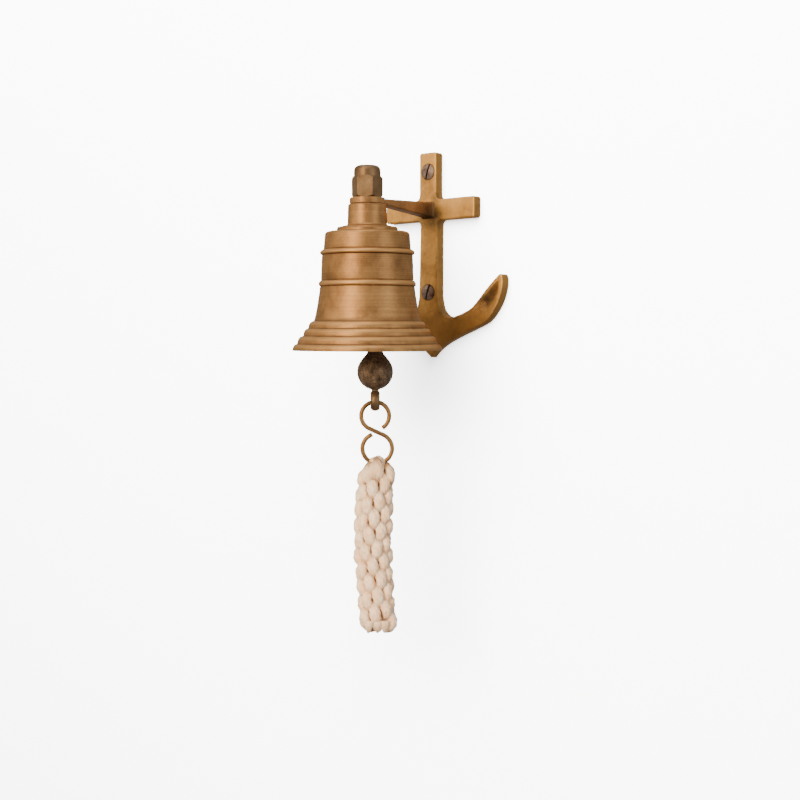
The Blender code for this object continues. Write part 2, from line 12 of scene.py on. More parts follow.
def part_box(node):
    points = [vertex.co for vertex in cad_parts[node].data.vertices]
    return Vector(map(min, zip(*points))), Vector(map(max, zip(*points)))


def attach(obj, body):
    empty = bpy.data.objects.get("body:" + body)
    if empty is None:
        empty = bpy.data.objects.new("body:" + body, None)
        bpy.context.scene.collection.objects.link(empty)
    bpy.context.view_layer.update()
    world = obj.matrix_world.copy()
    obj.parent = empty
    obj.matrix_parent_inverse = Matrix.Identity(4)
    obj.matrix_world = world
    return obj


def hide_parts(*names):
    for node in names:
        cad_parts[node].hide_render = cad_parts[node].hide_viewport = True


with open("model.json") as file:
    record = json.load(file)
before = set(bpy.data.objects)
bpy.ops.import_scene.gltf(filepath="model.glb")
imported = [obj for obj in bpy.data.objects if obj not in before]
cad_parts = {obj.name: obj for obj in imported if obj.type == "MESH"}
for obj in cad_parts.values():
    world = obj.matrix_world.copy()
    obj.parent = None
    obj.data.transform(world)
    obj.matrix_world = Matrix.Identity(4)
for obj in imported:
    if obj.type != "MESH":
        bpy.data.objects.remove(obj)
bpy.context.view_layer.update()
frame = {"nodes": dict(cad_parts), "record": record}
MM = 0.001

JOINTS = {joint["name"]: joint for joint in frame["record"]["behaviour"]["joints"]}
ROPE_PIVOT = Vector(JOINTS["lanyard_swing"]["pos_m"])
ACROSS = Vector(JOINTS["hook_swing"]["axis"]).normalized()
FACING = Vector(JOINTS["lanyard_swing"]["axis"]).normalized()
UP = Vector((0, 0, 1))
HOOK_RING_R = 10.1 * MM
BELL_LOW, BELL_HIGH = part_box("bell_body")
BELL_AXIS = Vector(((BELL_LOW.x + BELL_HIGH.x) / 2, (BELL_LOW.y + BELL_HIGH.y) / 2, 0))

LENS = 63.26
CAMERA_BACK, CAMERA_ASIDE, CAMERA_HEIGHT, CAMERA_TILT = 0.950, 0.0220, -0.0844, 0.0502

LIT_MIDDLE = Vector((0, -0.05, -0.10))
WARM, COOL, WHITE = (1.0, 0.81, 0.58), (0.93, 0.96, 1.0), (1, 1, 1)
# Name, degrees round from the viewer, distance, height, width, length, watts, colour
LAMPS = (
    ("key", -38, 1.5, 0.50, 0.60, 1.3, 22, WARM),
    ("side", -82, 1.5, 0.60, 0.8, 1.0, 4.0, WARM),
    ("fill", 48, 1.7, 0.25, 0.9, 1.2, 7.0, COOL),
)
WASH_LAMP = ("wall_wash", -30, 1.3, 0.9, 2.2, 1.8, 400, WHITE)
ROPE_LAMP = ("rope_soft", -20, 1.2, 0.3, 0.8, 1.3, 30.0, (1.0, 0.83, 0.64))
TOP_HEIGHT, TOP_FORWARD, TOP_SIZE, TOP_POWER = 1.6, 0.6, 1.4, 10
SKY_LOW, SKY_HIGH, SKY_STRENGTH = (0.34, 0.33, 0.33, 1), (0.90, 0.95, 1.0, 1), 0.82

WALL_Y, WALL_HALF, WALL_TOP = 0.0006, 2.2, 1.6
FLOOR_Z, FLOOR_HALF = -0.62, 3
WALL_GLOW, FLOOR_GLOW = 1.5, 0.8


# ---------------------------------------------------------------- shared mesh steps

def join_rings(shape, rings, closed=False):
    """Quads between each ring of vertices and the next, and from the last to the first if closed."""
    after = rings[1:] + (rings[:1] if closed else [])
    for low, high in zip(rings, after):
        for k in range(len(low)):
            m = (k + 1) % len(low)
            shape.faces.new((low[k], low[m], high[m], high[k]))


def mesh_from(name, shape):
    mesh = bpy.data.meshes.new(name)
    shape.to_mesh(mesh)
    shape.free()
    return mesh


def in_scene(name, data):
    obj = bpy.data.objects.new(name, data)
    bpy.context.scene.collection.objects.link(obj)
    return obj


# ---------------------------------------------------------------- camera, lights and stage

def make_camera():
    data = bpy.data.cameras.new("camera")
    camera = in_scene("camera", data)
    data.sensor_width = 36.0
    data.lens = LENS
    camera.location = BELL_AXIS + FACING * CAMERA_BACK + ACROSS * CAMERA_ASIDE + Vector((0, 0, CAMERA_HEIGHT))
    aim = -FACING * math.cos(CAMERA_TILT) - UP * math.sin(CAMERA_TILT)
    camera.rotation_euler = aim.to_track_quat("-Z", "Y").to_euler()
    data.clip_start, data.clip_end = 0.01, 50
    bpy.context.scene.camera = camera


def area_light(name, place, target, size, power, colour=WHITE):
    data = bpy.data.lights.new(name, "AREA")
    data.energy = power
    data.color = colour
    data.shape = "RECTANGLE"
    data.size, data.size_y = size
    light = in_scene(name, data)
    light.location = place
    light.rotation_euler = (target - place).to_track_quat("-Z", "Y").to_euler()
    return light


def lamp_round(target, name, degrees, distance, height, width, length, power, colour):
    """A soft box at an angle round from the viewer, aimed at the target."""
    out = Matrix.Rotation(math.radians(degrees), 3, "Z") @ FACING
    return area_light(name, target + out * distance + UP * height, target, (width, length), power, colour)


def make_lights():
    """A tall soft box on the viewer's left, a dimmer one beyond it for the flat faces, and two weak fills."""
    for lamp in LAMPS:
        lamp_round(LIT_MIDDLE, *lamp)
    over = LIT_MIDDLE + UP * TOP_HEIGHT - Vector((0, TOP_FORWARD, 0))
    area_light("top", over, LIT_MIDDLE, (TOP_SIZE, TOP_SIZE), TOP_POWER)
    return lamp_round(LIT_MIDDLE, *WASH_LAMP)


def light_only(lamp, name, pieces):
    """The lamp reaches these pieces and nothing else."""
    lit = bpy.data.collections.new(name)
    for piece in pieces:
        lit.objects.link(piece)
    lamp.light_linking.receiver_collection = lit


def make_world():
    """Even light from all round, a little brighter from above."""
    world = bpy.data.worlds.new("studio")
    bpy.context.scene.world = world
    world.use_nodes = True
    nodes, links = world.node_tree.nodes, world.node_tree.links
    back = nodes["Background"]
    place = nodes.new("ShaderNodeTexCoord")
    split = nodes.new("ShaderNodeSeparateXYZ")
    ramp = nodes.new("ShaderNodeValToRGB")
    half = nodes.new("ShaderNodeMath")
    half.operation = "MULTIPLY_ADD"
    half.inputs[1].default_value = 0.5
    half.inputs[2].default_value = 0.5
    links.new(place.outputs["Generated"], split.inputs[0])
    links.new(split.outputs["Z"], half.inputs[0])
    links.new(half.outputs[0], ramp.inputs[0])
    ramp.color_ramp.elements[0].color = SKY_LOW
    ramp.color_ramp.elements[1].color = SKY_HIGH
    links.new(ramp.outputs[0], back.inputs["Color"])
    back.inputs["Strength"].default_value = SKY_STRENGTH


def plane(name, corners, material):
    mesh = bpy.data.meshes.new(name)
    mesh.from_pydata(corners, [], [tuple(range(len(corners)))])
    mesh.materials.append(material)
    obj = in_scene(name, mesh)
    return obj


def pale(name, one_sided, glow):
    """Matt white that glows a little. A one-sided surface can't be seen from behind."""
    material = bpy.data.materials.new(name)
    material.use_nodes = True
    nodes, links = material.node_tree.nodes, material.node_tree.links
    shader = nodes["Principled BSDF"]
    shader.inputs["Base Color"].default_value = (0.93, 0.93, 0.93, 1)
    shader.inputs["Roughness"].default_value = 0.9
    shader.inputs["Specular IOR Level"].default_value = 0.1
    shader.inputs["Emission Color"].default_value = (1, 1, 1, 1)
    shader.inputs["Emission Strength"].default_value = glow
    if one_sided:
        clear = nodes.new("ShaderNodeBsdfTransparent")
        side = nodes.new("ShaderNodeNewGeometry")
        mix = nodes.new("ShaderNodeMixShader")
        links.new(side.outputs["Backfacing"], mix.inputs[0])
        links.new(shader.outputs[0], mix.inputs[1])
        links.new(clear.outputs[0], mix.inputs[2])
        links.new(mix.outputs[0], nodes["Material Output"].inputs["Surface"])
    return material


def make_stage(wash):
    """A white wall and floor. The wash reaches only them, so it leaves the bell's own light alone."""
    wall = [(x, WALL_Y, z) for x, z in (
        (-WALL_HALF, FLOOR_Z), (WALL_HALF, FLOOR_Z), (WALL_HALF, WALL_TOP), (-WALL_HALF, WALL_TOP))]
    backdrop = plane("backdrop", wall, pale("wall_white", True, WALL_GLOW))
    floor = [(x * FLOOR_HALF, y * FLOOR_HALF, FLOOR_Z) for x, y in ((-1, -1), (1, -1), (1, 1), (-1, 1))]
    ground = plane("floor", floor, pale("floor_white", False, FLOOR_GLOW))
    for surface in (backdrop, ground):
        surface.visible_glossy = False
        surface.visible_diffuse = False
    light_only(wash, "washed", (backdrop, ground))


# ---------------------------------------------------------------- materials

class Look:
    """A Principled material with short calls for the nodes that feed it."""

    def __init__(self, name, roughness, metallic):
        self.material = bpy.data.materials.new(name)
        self.material.use_nodes = True
        self.nodes = self.material.node_tree.nodes
        self.links = self.material.node_tree.links
        self.shader = self.nodes["Principled BSDF"]
        self.shader.inputs["Roughness"].default_value = roughness
        self.shader.inputs["Metallic"].default_value = metallic
        self.place = self.nodes.new("ShaderNodeTexCoord").outputs["Object"]

    def moved(self, offset=(0, 0, 0), scale=(1, 1, 1), turn=(0, 0, 0)):
        node = self.nodes.new("ShaderNodeMapping")
        node.inputs["Location"].default_value = offset
        node.inputs["Rotation"].default_value = turn
        node.inputs["Scale"].default_value = scale
        self.links.new(self.place, node.inputs["Vector"])
        return node.outputs[0]

    def noise(self, vector, scale, detail=4.0, rough=0.55):
        node = self.nodes.new("ShaderNodeTexNoise")
        node.inputs["Scale"].default_value = scale
        node.inputs["Detail"].default_value = detail
        node.inputs["Roughness"].default_value = rough
        self.links.new(vector, node.inputs["Vector"])
        return node.outputs["Fac"]

    def math(self, operation, a, b):
        node = self.nodes.new("ShaderNodeMath")
        node.operation = operation
        for slot, value in zip(node.inputs, (a, b)):
            if isinstance(value, (int, float)):
                slot.default_value = value
            else:
                self.links.new(value, slot)
        return node.outputs[0]

    def spread(self, value, low, high, to_low=0.0, to_high=1.0):
        node = self.nodes.new("ShaderNodeMapRange")
        for name, number in zip(("From Min", "From Max", "To Min", "To Max"), (low, high, to_low, to_high)):
            node.inputs[name].default_value = number
        self.links.new(value, node.inputs["Value"])
        return node.outputs[0]

    def ramp(self, value, stops):
        node = self.nodes.new("ShaderNodeValToRGB")
        elements = node.color_ramp.elements
        while len(elements) < len(stops):
            elements.new(0.5)
        for element, (at, colour) in zip(elements, stops):
            element.position = at
            element.color = (*colour, 1)
        self.links.new(value, node.inputs[0])
        return node.outputs[0]

    def mix(self, share, first, second):
        """The first colour, going over to the second as the share rises from nought to one."""
        node = self.nodes.new("ShaderNodeMix")
        node.data_type = "RGBA"
        for slot, value in ((node.inputs[0], share), (node.inputs[6], first), (node.inputs[7], second)):
            if isinstance(value, (int, float)):
                slot.default_value = value
            elif isinstance(value, tuple):
                slot.default_value = (*value, 1)
            else:
                self.links.new(value, slot)
        return node.outputs[2]

    def bump(self, height, distance, strength=1.0, after=None):
        node = self.nodes.new("ShaderNodeBump")
        node.inputs["Distance"].default_value = distance
        node.inputs["Strength"].default_value = strength
        self.links.new(height, node.inputs["Height"])
        if after:
            self.links.new(after, node.inputs["Normal"])
        return node.outputs[0]

    def near(self, point, radius, soft):
        """One close to a point, falling to nought over soft."""
        node = self.nodes.new("ShaderNodeVectorMath")
        node.operation = "DISTANCE"
        self.links.new(self.place, node.inputs[0])
        node.inputs[1].default_value = point
        return self.spread(node.outputs["Value"], radius, radius + soft, 1.0, 0.0)

    def set(self, name, value):
        self.links.new(value, self.shader.inputs[name])


# Colour of the dark patches near points: partly patina, partly painted shade.
PATINA_AND_SHADE_COLOUR = (0.045, 0.028, 0.016)
BRUSHED = {"turned": (9, 9, 1500), "upright": (700, 700, 40), "along": (60, 900, 900)}


def brass(name, tones, roughness, lines, grain=0.00004, patina_and_shade=(), metallic=0.74, contrast=0.5, painted_low_shade=None,
          painted_side_shade=0.0):
    """Antique brass: faint patina, brush lines, small pits, dark patches near points, and brighter crests and
    darker creases that are partly wear and patina and partly painted highlight and painted shade.

    One list gives dark patches, partly patina and partly painted shade, as (point, radius, soft edge,
    strength). Painted shade towards the bottom is given as the height where the metal starts to darken, the
    height where it ends, and how much. The final argument gives painted shade on the faces that look along
    +X.
    """
    dark, mid, light = tones
    look = Look(name, roughness, metallic)
    cloud = look.noise(look.moved(), 60, 5, 0.62)
    fine = look.noise(look.moved((3, 1, 2)), 520, 3, 0.6)
    colour = look.ramp(cloud, [(0.28, dark), (0.48, mid), (0.78, light)])
    colour = look.mix(look.spread(fine, 0.40, 0.75, 0.0, 0.22), colour, dark)
    streak = look.noise(look.moved((0, 0, 0), BRUSHED[lines]), 1.0, 5, 0.72)
    colour = look.mix(look.spread(streak, 0.45, 0.75, 0.0, contrast), colour, dark)
    colour = look.mix(look.spread(streak, 0.47, 0.25, 0.0, contrast), colour, light)
    # Brighter crests and darker creases from the turned profile: partly wear and patina, partly painted
    # highlight and painted shade.
    wear_light = look.nodes.new("ShaderNodeAttribute")
    wear_light.attribute_name = "wear_and_painted_light"
    polish_and_highlight = tuple(min(1, 1.35 * c) for c in light)
    crease = tuple(0.30 * c for c in dark)
    colour = look.mix(look.spread(wear_light.outputs["Fac"], 0.0, 1.0, 0.0, 0.55), colour, polish_and_highlight)
    colour = look.mix(look.spread(wear_light.outputs["Fac"], 0.0, -1.0, 0.0, 0.80), colour, crease)
    # Painted shade: the metal darkens towards the bottom, standing in for the light the bell keeps off the
    # lower anchor.
    if painted_low_shade:
        split = look.nodes.new("ShaderNodeSeparateXYZ")
        look.links.new(look.place, split.inputs[0])
        height = look.math("ADD", split.outputs["Z"], look.spread(cloud, 0.3, 0.7, -0.004, 0.004))
        shade = look.spread(height, painted_low_shade[0], painted_low_shade[1], 0.0, painted_low_shade[2])
        colour = look.mix(shade, colour, tuple(0.55 * c for c in dark))
    # Painted shade on the faces that look along +X.
    if painted_side_shade:
        facing = look.nodes.new("ShaderNodeSeparateXYZ")
        look.links.new(look.nodes.new("ShaderNodeTexCoord").outputs["Normal"], facing.inputs[0])
        colour = look.mix(look.spread(facing.outputs["X"], 0.25, 0.75, 0.0, painted_side_shade), colour, dark)
    # Dark patches near points, partly patina and partly painted shade.
    for point, radius, soft, strength in patina_and_shade:
        patina_shade_share = look.math("MULTIPLY", look.near(point, radius, soft), look.spread(cloud, 0.3, 0.6, 1.0, 0.55))
        colour = look.mix(look.math("MULTIPLY", patina_shade_share, strength), colour, PATINA_AND_SHADE_COLOUR)
    look.set("Base Color", colour)
    blotched = look.spread(cloud, 0.3, 0.7, -0.03, 0.05)
    uneven = look.math("ADD", blotched, look.spread(streak, 0.3, 0.7, -0.05, 0.05))
    look.set("Roughness", look.math("ADD", uneven, roughness))
    look.shader.inputs["Specular Tint"].default_value = (0.80, 0.62, 0.45, 1)
    soft = look.bump(fine, grain * 3, 0.35)
    look.set("Normal", look.bump(streak, grain, 0.9, soft))
    return look.material


BEAD_STEPS, BEAD_SWEEP, MOULDING_STEPS, CROWN_STEPS, TURNED_STEPS = 9, 82, 7, 6, 144


def bead(z, half_height, top_r, bottom_r, proud):
    """Half-round band between two radii, as (radius, height, brightness) points, brighter on its crest and
    darker in the corners it makes: partly wear and patina, partly painted highlight and painted shade.
    """
    points = [(top_r - 0.15, z + half_height + 0.25, 0.0), (top_r - 0.25, z + half_height, -1.0)]
    for i in range(BEAD_STEPS):
        a = math.radians(BEAD_SWEEP - 2 * BEAD_SWEEP * i / (BEAD_STEPS - 1))
        level = top_r + (bottom_r - top_r) * (0.5 - 0.5 * math.sin(a))
        wear_light = 1.0 if abs(a) < 0.9 else 0.2
        points.append((level + proud * math.cos(a), z + (half_height - 0.15) * math.sin(a), wear_light))
    return [*points, (bottom_r - 0.25, z - half_height, -1.0), (bottom_r, z - half_height - 0.3, -0.1)]


def step_round(top, bottom):
    """Convex moulding from one (radius, height) to a wider, lower one, darker in the crease above it and
    brighter across its middle: partly patina and wear, partly painted shade and painted highlight.
    """
    points = [(top[0] - 0.10, top[1] + 0.10, -0.9)]
    for i in range(MOULDING_STEPS + 1):
        a = math.radians(90 * i / MOULDING_STEPS)
        r = top[0] + (bottom[0] - top[0]) * math.sin(a)
        z = bottom[1] + (top[1] - bottom[1]) * math.cos(a) ** 1.15
        points.append((r, z, 0.9 if 2 <= i <= 4 else (-0.3 if i == MOULDING_STEPS else 0.1)))
    return points


def bell_profile():
    """The bell's half section, from the hole in its crown, down the outside and up the inside.

    A point is a radius and a height in mm, and how much brighter or darker the metal is there, partly wear
    and patina and partly painted highlight and painted shade: 1 on a bright crest, -1 in a dark crease.
    """
    line = [(5.3, -18.9, -0.5), (20.5, -18.9, -0.9), (21.6, -18.9, 0.0), (26.2, -18.9, 0.1)]
    for i in range(CROWN_STEPS + 1):
        a = math.radians(90 - 86 * i / CROWN_STEPS)
        line.append((26.3 + 2.3 * math.cos(a), -21.2 + 2.3 * math.sin(a), 0.5 if 1 < i < 5 else 0.0))
    line += [(28.9, -24.5, 0.0), (29.2, -28.0, 0.0), (29.35, -30.0, -0.1)]
    line += bead(-32.6, 1.85, 29.5, 30.6, 1.75)
    line += [(30.75, -37.5, 0.0), (30.9, -42.0, 0.0), (31.1, -47.0, 0.0), (31.25, -50.6, -0.1)]
    line += bead(-53.6, 1.95, 31.3, 31.9, 1.20)
    line += [(32.3, -59.0, 0.0), (33.0, -63.4, 0.0), (33.6, -67.2, 0.0), (34.1, -70.5, 0.0)]
    line += [(34.9, -74.3, 0.0), (35.45, -76.6, 0.0), (36.0, -78.3, -0.4)]
    line += step_round((36.8, -79.0), (39.8, -83.4))
    line += step_round((40.4, -83.9), (43.2, -88.5))
    line += step_round((43.9, -89.0), (47.4, -93.9))
    line += step_round((48.0, -94.4), (50.6, -98.7))
    line += [(46.6, -98.7, 0.2), (45.2, -95.4, 0.0), (40.6, -89.0, 0.0), (36.4, -82.8, 0.0)]
    line += [(32.6, -77.4, 0.0), (30.4, -71.9, 0.0), (28.9, -64.4, 0.0), (27.6, -52.4, 0.0)]
    return line + [(26.2, -34.4, 0.0), (25.0, -26.4, 0.0), (22.5, -22.9, -0.5), (5.3, -22.9, -0.5)]


def turned_mesh(name, profile):
    """The profile turned round the bell's axis, with each ring's wear and painted light, brighter or darker,
    kept on its vertices.
    """
    shape = bmesh.new()
    layer = shape.verts.layers.float.new("wear_and_painted_light")
    rings = []
    for r, z, wear_light in profile:
        ring = []
        for k in range(TURNED_STEPS):
            a = 2 * math.pi * k / TURNED_STEPS
            vertex = shape.verts.new((r * MM * math.cos(a), BELL_AXIS.y + r * MM * math.sin(a), z * MM))
            vertex[layer] = wear_light
            ring.append(vertex)
        rings.append(ring)
    join_rings(shape, rings, closed=True)
    bmesh.ops.recalc_face_normals(shape, faces=shape.faces)
    return mesh_from(name, shape)


SAME_POINT = 0.002 * MM


def smoothed_mesh(node, name):
    """The CAD node's own shape with its split vertices joined and its stored normals dropped."""
    shape = bmesh.new()
    shape.from_mesh(frame["nodes"][node].data)
    bmesh.ops.remove_doubles(shape, verts=shape.verts, dist=SAME_POINT)
    mesh = mesh_from(name, shape)
    if "custom_normal" in mesh.attributes:
        mesh.attributes.remove(mesh.attributes["custom_normal"])
    return mesh


FLAT_FACED = ("anchor_bracket", "bracket_arm")
# Degrees between two faces, up to which they are shaded as one
SMOOTH_TO = {"s_hook": 180, "eye_bolt": 60, "acorn_nut": 22}
SMOOTH_USUAL = 32
EVEN_WEIGHT = 100


def wear(node, body, material):
    """A piece in the CAD node's place and shape, without its facets, in a finished material."""
    name = f"{node}_skin"
    if node == "bell_body":
        mesh = turned_mesh(name, bell_profile())
    else:
        mesh = smoothed_mesh(node, name)
    mesh.materials.clear()
    mesh.materials.append(material)
    for face in mesh.polygons:
        face.material_index = 0
    mesh.shade_smooth()
    mesh.set_sharp_from_angle(angle=math.radians(SMOOTH_TO.get(node, SMOOTH_USUAL)))
    skin = in_scene(name, mesh)
    if node in FLAT_FACED:
        even = skin.modifiers.new("even", "WEIGHTED_NORMAL")
        even.keep_sharp = True
        even.weight = EVEN_WEIGHT
    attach(skin, body)
    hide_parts(node)


BALL_TONES = [(0.30, (0.065, 0.036, 0.018)), (0.50, (0.21, 0.125, 0.062)), (0.72, (0.46, 0.29, 0.15))]
SCREW_TONES = [(0.3, (0.10, 0.062, 0.045)), (0.5, (0.23, 0.150, 0.110)), (0.75, (0.38, 0.27, 0.20))]
# Colours of the casting's pits, and of the painted shade in the screw slots
PIT_COLOUR, SLOT_SHADE_COLOUR = (0.040, 0.022, 0.012), (0.012, 0.008, 0.006)
# Depths below a screw head's face, where the painted shade in its slot starts and where it is full
SLOT_START, SLOT_DARK = 0.0008, 0.0012


def ball_material():
    """The clapper's rough, blackened casting, with brighter worn patches."""
    look = Look("clapper_dark_bronze", 0.55, 0.55)
    cloud = look.noise(look.moved(), 160, 5, 0.65)
    pits = look.noise(look.moved((5, 2, 1)), 900, 4, 0.7)
    colour = look.ramp(cloud, BALL_TONES)
    colour = look.mix(look.spread(pits, 0.45, 0.62, 0.0, 0.6), colour, PIT_COLOUR)
    look.set("Base Color", colour)
    look.set("Roughness", look.spread(cloud, 0.3, 0.7, 0.66, 0.46))
    soft = look.bump(cloud, 0.0005, 0.7)
    look.set("Normal", look.bump(pits, 0.00025, 0.8, soft))
    return look.material


def screw_material():
    """Dark scratched bronze, with painted shade below the heads' faces, in the slots."""
    look = Look("screw_bronze_dark", 0.46, 0.75)
    cloud = look.noise(look.moved(), 240, 4, 0.6)
    scratch = look.noise(look.moved((0, 0, 0), (900, 900, 120), (0, 0.4, 0)), 1.0, 3, 0.6)
    colour = look.ramp(cloud, SCREW_TONES)
    deep = look.nodes.new("ShaderNodeSeparateXYZ")
    look.links.new(look.place, deep.inputs[0])
    head = frame["nodes"]["wall_screw_upper"]
    front = min((head.matrix_world @ Vector(corner)).y for corner in head.bound_box)
    # Painted shade in the slots.
    slot_shade = look.spread(deep.outputs["Y"], front + SLOT_START, front + SLOT_DARK)
    colour = look.mix(slot_shade, colour, SLOT_SHADE_COLOUR)
    look.set("Base Color", colour)
    look.set("Roughness", look.spread(scratch, 0.3, 0.7, 0.34, 0.56))
    look.set("Normal", look.bump(scratch, 0.00006, 0.7))
    return look.material


# Dark, middle and light tones of each kind of brass
GOLD = ((0.205, 0.096, 0.033), (0.380, 0.188, 0.064), (0.530, 0.278, 0.094))
BRIGHT = ((0.360, 0.172, 0.044), (0.690, 0.352, 0.090), (0.900, 0.500, 0.145))
DULL = ((0.100, 0.056, 0.026), (0.215, 0.125, 0.058), (0.330, 0.205, 0.100))
ROD_TONES = ((0.09, 0.052, 0.028), (0.25, 0.15, 0.07), (0.40, 0.25, 0.12))

# Dark patches, partly patina and partly painted shade, as (point, radius, soft edge, strength): round the
# arm's root, round the screws, in the crook beside the shank's foot, and along the valley of the fluke
ANCHOR_PATINA_AND_SHADE = (
    ((0.0062, -0.0090, -0.0010), 0.0030, 0.0050, 0.88),
    ((0.0050, -0.0080, -0.0075), 0.0035, 0.0060, 0.88),
    ((-0.0065, -0.0080, -0.0080), 0.0020, 0.0060, 0.88),
    ((0.0070, -0.0070, 0.0080), 0.0012, 0.0040, 0.88),
    ((0, -0.0075, 0.0272), 0.0054, 0.0010, 0.88),
    ((0, -0.0075, -0.0581), 0.0054, 0.0010, 0.88),
    ((0.0110, -0.0060, -0.0720), 0.0010, 0.0060, 0.6),
    ((0.0480, -0.0070, -0.0665), 0.0026, 0.0050, 0.86),
    ((0.0518, -0.0060, -0.0615), 0.0028, 0.0045, 0.90),
    ((0.0555, -0.0060, -0.0570), 0.0018, 0.0040, 0.80),
)
# On the arm, darker towards its root: partly patina, partly painted shade where it meets the anchor.
ARM_PATINA_AND_SHADE = (
    ((0.0060, -0.0100, -0.0010), 0.0050, 0.0140, 1.0),
    ((-0.002, -0.0080, -0.0050), 0.0040, 0.0110, 1.0),
)
# Painted shade over the anchor's lower part: the height where it starts, the height where it is full, and how
# much.
ANCHOR_LOW_SHADE = (-0.052, -0.078, 0.72)


def dress_metal():
    """A skin in its own finish for every metal node, on the node's own body."""
    bell = brass("bell_turned_brass", GOLD, 0.41, "turned")
    anchor = brass("anchor_cast_brass", BRIGHT, 0.47, "upright", 0.00002, ANCHOR_PATINA_AND_SHADE, metallic=0.68,
                   contrast=0.10, painted_low_shade=ANCHOR_LOW_SHADE, painted_side_shade=0.55)
    arm = brass("arm_brass", GOLD, 0.42, "along", 0.00003, ARM_PATINA_AND_SHADE, 0.6, 0.3)
    nut = brass("nut_brass", DULL, 0.42, "upright", contrast=0.2)
    wire = brass("wire_brass", GOLD, 0.40, "upright", 0.00001, contrast=0.0)
    rod = brass("rod_brass", ROD_TONES, 0.44, "upright", contrast=0.2)
    worn = {
        "bell_body": bell, "crown_collar": bell, "anchor_bracket": anchor, "bracket_arm": arm,
        "acorn_nut": nut, "inside_washer": nut, "inside_lock_nut": nut, "eye_bolt": nut,
        "s_hook": wire, "clapper_rod": rod, "clapper_ball": ball_material(),
        "wall_screw_upper": screw_material(),
    }
    worn["wall_screw_lower"] = worn["wall_screw_upper"]
    home = {node: body for body, nodes in frame["record"]["behaviour"]["bodies"].items() for node in nodes}
    for node, material in worn.items():
        wear(node, home[node], material)


# ---------------------------------------------------------------- the plaited rope

# Heights are from the rope's pivot, the middle of the hook's lower ring
ROPE_TOP, ROPE_BOTTOM = -5.5 * MM, -125.5 * MM
ROPE_HALF_WIDE, ROPE_HALF_DEEP = 13.3 * MM, 11.2 * MM
ROPE_ROUND = 74.0 * MM
BOW, TAIL_ASIDE = -3.4 * MM, 1.2 * MM

# The plait's stitches: from one to the next along its two directions, as (round the rope, down)
COLUMNS, ROWS = 8, range(-6, 13)
STEP_RIGHT = (6.4 * MM, 8.8 * MM)
STEP_LEFT = (-3.8 * MM, 11.75 * MM)
FIRST_ROUND, FIRST_DOWN = 2.0 * MM, 9 * MM
LOBE_STEPS = 20
LOBE_HALF, LOBE_LEAN = 8.9 * MM, math.radians(12)
STRAND_WIDE, STRAND_THICK = 3.75 * MM, 3.3 * MM
DIVE = 7.4 * MM

# A strand's plies, and its fuzz as (waves a metre, mm)
STRAND_SIDES, PLIES, PLY_DEPTH, PLY_TURNS = 28, 6, 0.075, 0.7
FUZZ_COARSE, FUZZ_FINE = (420, 0.30), (1300, 0.16)

# The eye: two strands over the wire, as (offset, half width, how far they lean)
EYE_STRANDS = ((-1.9 * MM, 3.5 * MM, 2.4 * MM), (2.3 * MM, 3.4 * MM, 3.0 * MM))
EYE_STEPS, EYE_OVER, EYE_BELLY, EYE_DROP, EYE_TURN = 34, 3.0 * MM, 4.6 * MM, 12 * MM, 0.4
SHOULDER_STEPS, SHOULDER_START, SHOULDER_OUT = 20, 4.0, {-1: 3.4, 1: 5.0}
SHOULDER_TOP, SHOULDER_LENGTH = 10.6, 13.0

# The tail: three strands that turn under it
END_OFFSETS, END_STEPS = (-6.2 * MM, -0.4 * MM, 5.4 * MM), 24
END_RISE, END_OUT, END_DROP = 9.0 * MM, 6.6 * MM, 6.2 * MM
END_SIZE = (3.3 * MM, 2.4 * MM)

CORE_STEPS, CORE_INSET, CORE_START, CORE_SHORT = 40, 5.6 * MM, 5 * MM, 7.5 * MM


def rope_middle(z):
    """The rope's centre line at a height below its pivot: it bows a little to one side."""
    share = (z - ROPE_TOP) / (ROPE_BOTTOM - ROPE_TOP)
    bow = BOW * math.sin(math.pi * min(max(share, 0), 1)) + TAIL_ASIDE * share
    return ROPE_PIVOT + ACROSS * bow + UP * z


def rope_swell(z):
    """Share of the rope's full width at a height: narrow at the eye, and rounded at the tail."""
    down = (ROPE_TOP - z) / MM
    up = (z - ROPE_BOTTOM) / MM
    head = 0.68 + 0.32 * min(max(down / 17, 0), 1) ** 0.6
    tail = 1.0 - 0.30 * max(0.0, 1 - up / 5.0) ** 2
    return head * tail


def rope_point(angle, z, depth):
    """A point on the rope: angle 0 faces the viewer, and depth runs in from the outer surface."""
    swell = rope_swell(z)
    wide = max(ROPE_HALF_WIDE * swell - depth, 0.5 * MM)
    deep = max(ROPE_HALF_DEEP * swell - depth, 0.5 * MM)
    return rope_middle(z) + ACROSS * (wide * math.sin(angle)) + FACING * (deep * math.cos(angle))


